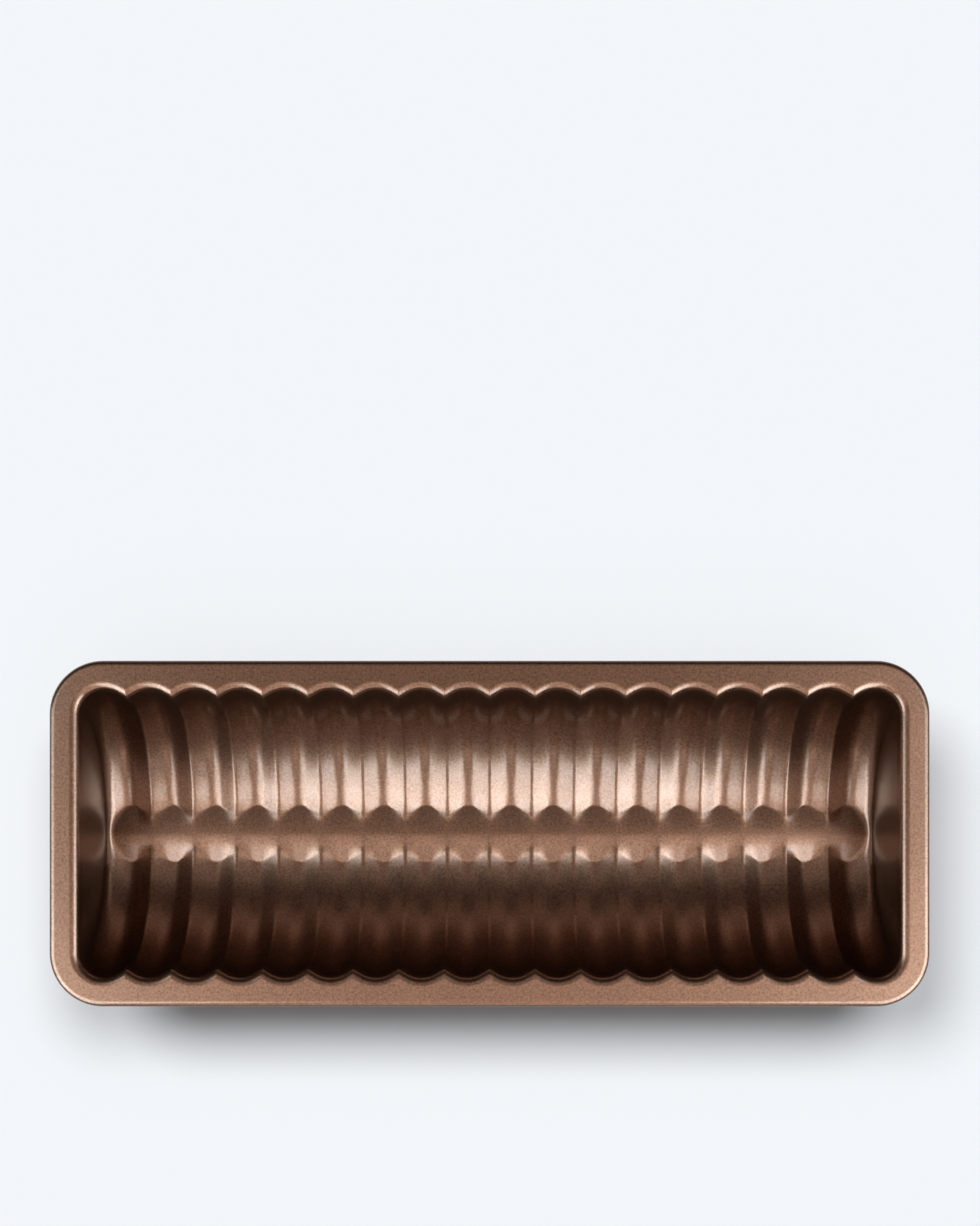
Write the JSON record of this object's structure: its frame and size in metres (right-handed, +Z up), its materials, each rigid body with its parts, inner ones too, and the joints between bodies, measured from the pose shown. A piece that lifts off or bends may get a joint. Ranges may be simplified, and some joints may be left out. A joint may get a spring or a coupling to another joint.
{
  "type": "ridged loaf pan",
  "caption": "Half-round loaf pan pressed from steel sheet, fluted across its length, with a raised spine along the floor, flat end walls and a flat rim rolled over a wire",
  "frame": {"origin": "middle of the base, on the surface that the pan stands on", "axes": "+X along the length of the pan, +Y across it, +Z up out of its mouth"},
  "size_m": [0.3, 0.1178, 0.0479],
  "materials": {
    "bronze_coat": "bronze metallic non-stick coat with a fine flake, semi-gloss, on steel sheet",
    "wire_steel": "drawn steel wire, bare, closed in the rolled edge"
  },
  "bodies": {
    "root": {"pan_body": "bronze_coat", "rim_wire": "wire_steel"}
  },
  "joints": []
}
